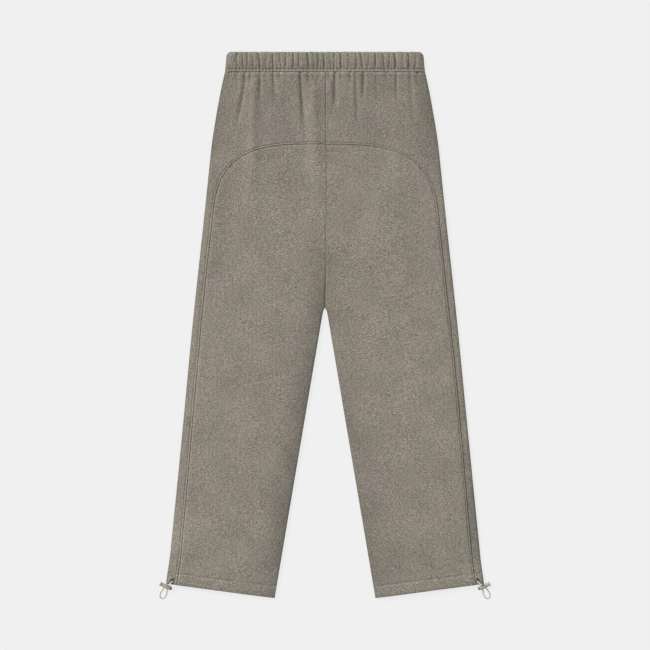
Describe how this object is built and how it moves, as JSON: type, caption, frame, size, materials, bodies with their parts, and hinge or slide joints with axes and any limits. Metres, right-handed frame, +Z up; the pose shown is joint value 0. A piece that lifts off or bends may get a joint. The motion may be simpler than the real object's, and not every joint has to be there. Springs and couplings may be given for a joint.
{
  "type": "jogger sweatpants",
  "caption": "Fleece sweatpants laid flat, back side up, with a gathered waistband, arched back seam, straight legs and corded hems.",
  "frame": {"origin": "middle of the garment's outline, on the surface that it lies on", "axes": "+Y towards the waist, +Z up out of the back of the garment, +X towards the wearer's right leg"},
  "size_m": [0.6324, 1.0388, 0.0115],
  "materials": {
    "fleece": "brushed cotton fleece, heathered stone grey",
    "cord": "round elastic cord, light beige grey",
    "lock": "satin moulded plastic, pale sage grey"
  },
  "bodies": {
    "root": {"waistband": "fleece", "left_outer_panel": "fleece", "left_back_leg": "fleece", "left_hem_cord": "cord", "left_lock_body": "lock", "left_lock_plunger": "lock", "right_outer_panel": "fleece", "right_back_leg": "fleece", "right_hem_cord": "cord", "right_lock_body": "lock", "right_lock_plunger": "lock"}
  },
  "joints": []
}
